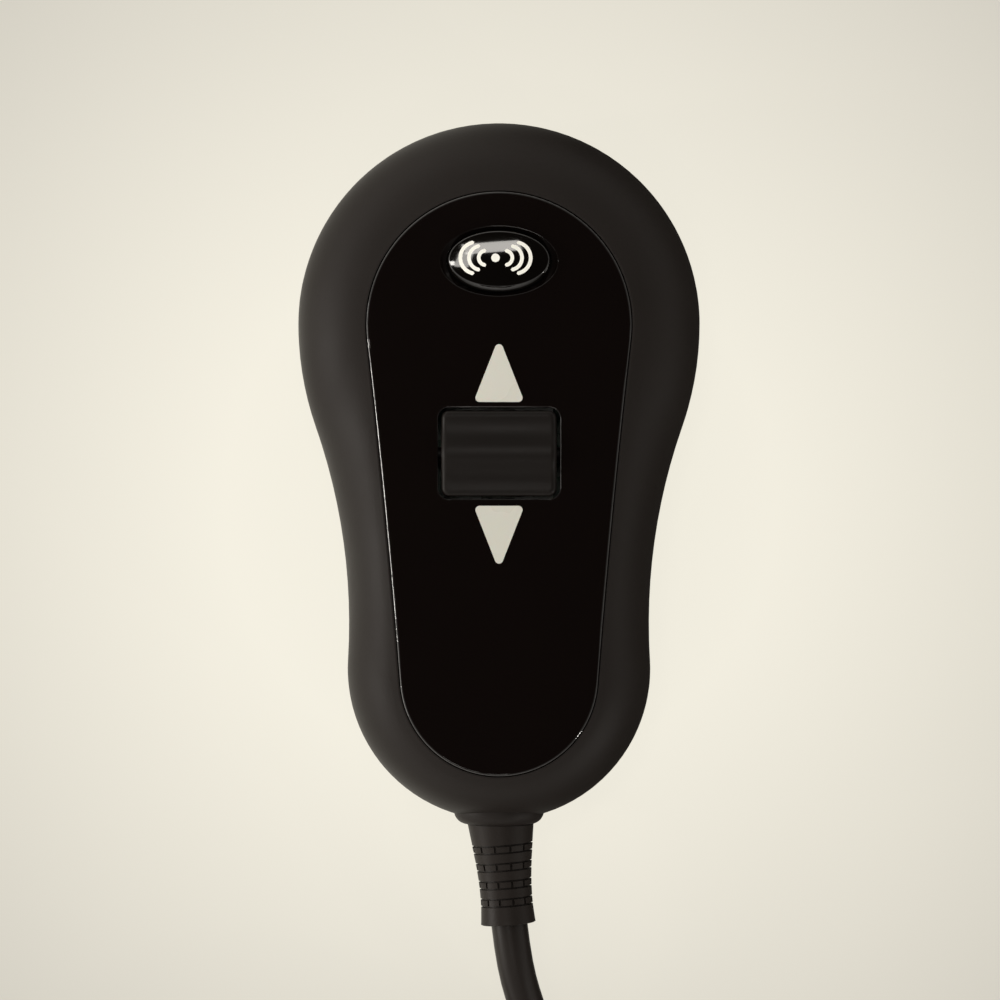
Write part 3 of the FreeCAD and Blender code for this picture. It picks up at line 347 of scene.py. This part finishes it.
# %% [markdown]
# ## The print on the button
# The symbol for massage is a dot between three pairs of arcs, printed in pale ink. Ink is a real layer, so it is
# made as a thin skin laid on the button's crown: flat outlines are filled with small faces, and every point is
# dropped onto the button from above. That way the print follows the crown and moves with the button.

# %% Sizes of the symbol
SYMBOL_CENTRE = (-0.545, 33.69)
DOT_RADIUS = 0.67
ARC_SIZES = [(1.50, 1.13), (2.27, 1.88), (3.05, 2.46)]
ARC_HALF_TURN = math.radians(77)
ARC_STEPS = 40
LINE_WIDTH = 0.58
LINE_STATIONS = (-1, -0.5, 0, 0.5, 1)
LEAST_CAP_WIDTH = 0.04
DOT_SPOKES = 48
DOT_RINGS = 3
INK_LIFT = 0.02

crown = BVHTree.FromObject(nodes["massage_button"], bpy.context.evaluated_depsgraph_get())


def on_crown(x, y):
    """The point of the button's top below (x, y), both in millimetres, lifted by the ink."""
    hit = crown.ray_cast(Vector((x * MM, y * MM, 0.1)), Vector((0, 0, -1)))[0]
    return (hit.x, hit.y, hit.z + INK_LIFT * MM)


# %% Draw the arcs and the dot
def arc_strip(offset, radius, side):
    """Rows of points across a round-ended arc line, from one end to the other."""
    half = LINE_WIDTH / 2
    cap = half / radius
    rows = []
    for i in range(ARC_STEPS + 1):
        turn = -ARC_HALF_TURN - cap + (2 * ARC_HALF_TURN + 2 * cap) * i / ARC_STEPS
        past = max(abs(turn) - ARC_HALF_TURN, 0) / cap
        width = half * math.sqrt(max(1 - past ** 2, LEAST_CAP_WIDTH ** 2))
        row = []
        for across in LINE_STATIONS:
            reach = radius + width * across
            row.append((SYMBOL_CENTRE[0] + side * (offset + reach * math.cos(turn)),
                        SYMBOL_CENTRE[1] + reach * math.sin(turn)))
        rows.append(row)
    return rows


def skin_of_rows(rows, vertices, faces, flip):
    """Adds a grid of faces between the rows."""
    start = len(vertices)
    wide = len(rows[0])
    vertices.extend(on_crown(x, y) for row in rows for x, y in row)
    for i in range(len(rows) - 1):
        for j in range(wide - 1):
            corner = start + i * wide + j
            face = (corner, corner + 1, corner + wide + 1, corner + wide)
            faces.append(face[::-1] if flip else face)


def dot_rows():
    """Rows of points out from the middle of the dot, one for each direction."""
    rows = []
    reaches = [DOT_RADIUS * k / DOT_RINGS for k in range(DOT_RINGS + 1)]
    for i in range(DOT_SPOKES + 1):
        turn = 2 * math.pi * i / DOT_SPOKES
        rows.append([(SYMBOL_CENTRE[0] + reach * math.cos(turn),
                      SYMBOL_CENTRE[1] + reach * math.sin(turn)) for reach in reaches])
    return rows


ink_vertices = []
ink_faces = []
for offset, radius in ARC_SIZES:
    for side in (-1, 1):
        skin_of_rows(arc_strip(offset, radius, side), ink_vertices, ink_faces, side < 0)
skin_of_rows(dot_rows(), ink_vertices, ink_faces, False)
ink_mesh = bpy.data.meshes.new("massage_symbol")
ink_mesh.from_pydata(ink_vertices, [], ink_faces)
ink_mesh.validate()
symbol = bpy.data.objects.new("massage_symbol", ink_mesh)
bpy.context.scene.collection.objects.link(symbol)
for face in ink_mesh.polygons:
    face.use_smooth = True
symbol.data.materials.append(pale_ink)
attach(symbol, "massage_button")
print("symbol faces:", len(ink_mesh.polygons))

# %% [markdown]
# ## Floor and light
# The control lies on a plain cream sheet with a painted pool of light on it: its colour is brightest round the object
# and falls off a little towards the corners, and glossy pieces see it glow more on the left, a painted reflection.
# The floor gives most of its brightness to the camera directly and keeps a little for shadow. The room is dark
# straight above, where the camera stands, and bright in a band near the horizon, more on the left than on the right.
# A glossy black plate shows
# exactly that dark ceiling, which is why it looks so deep, while the rolled rim picks up the band. The lamps add
# what a room can't: a long low soft box and a small lamp on the left for the edges, a small lamp on the right, and
# four panes high up, which the crowned button mirrors as a bar and two small windows.

# %% Plain colours
bpy.context.scene.view_settings.view_transform = "Standard"

# %% The cream floor
# The floor's colour holds a painted pool of light: brightest round the object, dimmer towards the corners.
PAINTED_POOL_NEAR = (0.920, 0.886, 0.776)
PAINTED_POOL_FAR = (0.630, 0.603, 0.532)
FLOOR_HALF = 4.0
GLOW_SHARES = {"Is Camera Ray": 0.88, "Is Glossy Ray": 1.0, "Is Transmission Ray": 0.88}
SHEEN_LEFT = 1.35
SHEEN_RIGHT = 0.06
SHEEN_REACH = 0.018
BRIGHT_RADIUS = 0.045
DIM_RADIUS = 0.125
FLOOR_ROUGHNESS = 0.9
FLOOR_SPECULAR = 0.1
FLOOR_DROP = 0.0002


def cream_floor():
    """Cream sheet with a painted pool of light, brightest round the object. It glows for the camera, shows a little
    shadow, and glows more on the left than on the right where a glossy piece mirrors it, a painted reflection."""
    material, tree, shader = new_material("cream_sheet")
    place = add_node(tree, "ShaderNodeTexCoord")
    offset = add_node(tree, "ShaderNodeVectorMath")
    offset.operation = "SUBTRACT"
    offset.inputs[1].default_value = (PICTURE_CENTRE[0], PICTURE_CENTRE[1], 0)
    tree.links.new(place.outputs["Object"], offset.inputs[0])
    length = add_node(tree, "ShaderNodeVectorMath")
    length.operation = "LENGTH"
    tree.links.new(offset.outputs["Vector"], length.inputs[0])
    # Painted pool of light: the sheet's colour dims from round the object out towards the corners.
    fall = spread(tree, length.outputs["Value"], 0, 1, BRIGHT_RADIUS, DIM_RADIUS)
    colour = blend_colours(tree, fall, PAINTED_POOL_NEAR, PAINTED_POOL_FAR)
    tree.links.new(colour, shader.inputs["Base Color"])
    shader.inputs["Roughness"].default_value = FLOOR_ROUGHNESS
    shader.inputs["Specular IOR Level"].default_value = FLOOR_SPECULAR
    glow = add_node(tree, "ShaderNodeEmission")
    tree.links.new(colour, glow.inputs["Color"])
    path = add_node(tree, "ShaderNodeLightPath")
    across = add_node(tree, "ShaderNodeSeparateXYZ")
    tree.links.new(place.outputs["Object"], across.inputs["Vector"])
    strength = add_node(tree, "ShaderNodeMix", A=1.0)
    tree.links.new(path.outputs["Is Glossy Ray"], strength.inputs["Factor"])
    tree.links.new(spread(tree, across.outputs["X"], SHEEN_LEFT, SHEEN_RIGHT, -SHEEN_REACH, SHEEN_REACH),
                   strength.inputs["B"])
    tree.links.new(strength.outputs["Result"], glow.inputs["Strength"])
    share = 0
    for ray, part in GLOW_SHARES.items():
        weighed = add_node(tree, "ShaderNodeMath")
        weighed.operation = "MULTIPLY_ADD"
        weighed.inputs[1].default_value = part
        tree.links.new(path.outputs[ray], weighed.inputs[0])
        if share:
            tree.links.new(share, weighed.inputs[2])
        else:
            weighed.inputs[2].default_value = 0
        share = weighed.outputs["Value"]
    mixed = add_node(tree, "ShaderNodeMixShader")
    tree.links.new(share, mixed.inputs["Fac"])
    tree.links.new(shader.outputs["BSDF"], mixed.inputs[1])
    tree.links.new(glow.outputs["Emission"], mixed.inputs[2])
    tree.links.new(mixed.outputs["Shader"], tree.nodes["Material Output"].inputs["Surface"])
    return material


floor_mesh = bpy.data.meshes.new("cream_floor")
floor_mesh.from_pydata(
    [(-FLOOR_HALF, -FLOOR_HALF, 0), (FLOOR_HALF, -FLOOR_HALF, 0), (FLOOR_HALF, FLOOR_HALF, 0),
     (-FLOOR_HALF, FLOOR_HALF, 0)], [], [(0, 1, 2, 3)])
floor = bpy.data.objects.new("cream_floor", floor_mesh)
bpy.context.scene.collection.objects.link(floor)
floor.location = (0, 0, -FLOOR_DROP)
floor.data.materials.append(cream_floor())
print("floor made")

# %% The room around it
LIGHT_COLOUR = (1.0, 0.96, 0.90)
ROOM_LEFT = 1.00
ROOM_RIGHT = 0.52
ROOM_SIDES = (-0.7, 0.7)
ROOM_HORIZON = 1.60
HORIZON_FADE = (0.25, 0.45)
ROOM_ZENITH = 0.02
ZENITH_FADE = (0.65, 0.92)


def studio_world():
    """A room that is cream to the camera. For everything else it is dark straight above, brighter around and
    brightest near the horizon."""
    world = bpy.data.worlds.new("studio")
    bpy.context.scene.world = world
    world.use_nodes = True
    tree = world.node_tree
    background = tree.nodes["Background"]
    place = add_node(tree, "ShaderNodeTexCoord")
    split = add_node(tree, "ShaderNodeSeparateXYZ")
    tree.links.new(place.outputs["Generated"], split.inputs["Vector"])
    side = spread(tree, split.outputs["X"], ROOM_LEFT, ROOM_RIGHT, *ROOM_SIDES)
    low = spread(tree, split.outputs["Z"], ROOM_HORIZON, 0, *HORIZON_FADE)
    upper = spread(tree, split.outputs["Z"], 1, ROOM_ZENITH, *ZENITH_FADE)
    height = add_node(tree, "ShaderNodeMath")
    height.operation = "ADD"
    tree.links.new(low, height.inputs[0])
    tree.links.new(upper, height.inputs[1])
    both = add_node(tree, "ShaderNodeMath")
    both.operation = "MULTIPLY"
    tree.links.new(side, both.inputs[0])
    tree.links.new(height.outputs["Value"], both.inputs[1])
    tree.links.new(both.outputs["Value"], background.inputs["Strength"])
    background.inputs["Color"].default_value = (*LIGHT_COLOUR, 1)
    # The backdrop beyond the floor takes the dim end of the painted pool of light.
    seen = add_node(tree, "ShaderNodeBackground", Color=(*PAINTED_POOL_FAR, 1), Strength=1.0)
    path = add_node(tree, "ShaderNodeLightPath")
    mixed = add_node(tree, "ShaderNodeMixShader")
    tree.links.new(path.outputs["Is Camera Ray"], mixed.inputs["Fac"])
    tree.links.new(background.outputs["Background"], mixed.inputs[1])
    tree.links.new(seen.outputs["Background"], mixed.inputs[2])
    tree.links.new(mixed.outputs["Shader"], tree.nodes["World Output"].inputs["Surface"])


studio_world()


# %% Soft boxes
def soft_box(name, place, target, width, height, radiance):
    """An area lamp of a stated radiance, so that its size can change without a change in how it shines back."""
    lamp = bpy.data.lights.new(name, "AREA")
    lamp.shape = "RECTANGLE"
    lamp.size = width
    lamp.size_y = height
    lamp.energy = radiance * math.pi * width * height
    lamp.color = LIGHT_COLOUR
    holder = bpy.data.objects.new(name, lamp)
    holder.location = place
    holder.rotation_euler = (Vector(target) - Vector(place)).to_track_quat("-Z", "Y").to_euler()
    bpy.context.scene.collection.objects.link(holder)


# The places are in metres: first the lamp's, then what it faces. Then come width, height and radiance.
MIDDLE = (0, 0, 0)
CROWN_LEFT = (-0.005, 0.034, 0.027)
CROWN_EDGE = (-0.0075, 0.033, 0.027)
LAMPS = [
    ("key_left", (-1.25, -0.15, 0.30), MIDDLE, 0.90, 0.40, 4.0),
    ("spot_left", (-1.25, -0.10, 0.42), MIDDLE, 0.12, 0.12, 90.0),
    ("spot_right", (0.95, -0.75, 0.42), MIDDLE, 0.08, 0.08, 120.0),
    ("window_above", (-0.04, 0.225, 1.00), MIDDLE, 0.32, 0.13, 11.5),
    ("window_front", (-0.12, -0.44, 0.95), MIDDLE, 0.34, 0.14, 6.0),
    ("window_left", (-0.195, 0.065, 1.00), CROWN_LEFT, 0.19, 0.08, 9.0),
    ("small_lamp", (-0.267, 0.021, 1.00), CROWN_EDGE, 0.050, 0.037, 26.0),
]
for lamp_values in LAMPS:
    soft_box(*lamp_values)

# %% [markdown]
# ## Bring the scene up to date
# The last cell updates the view layer.

# %% Update the scene
bpy.context.view_layer.update()
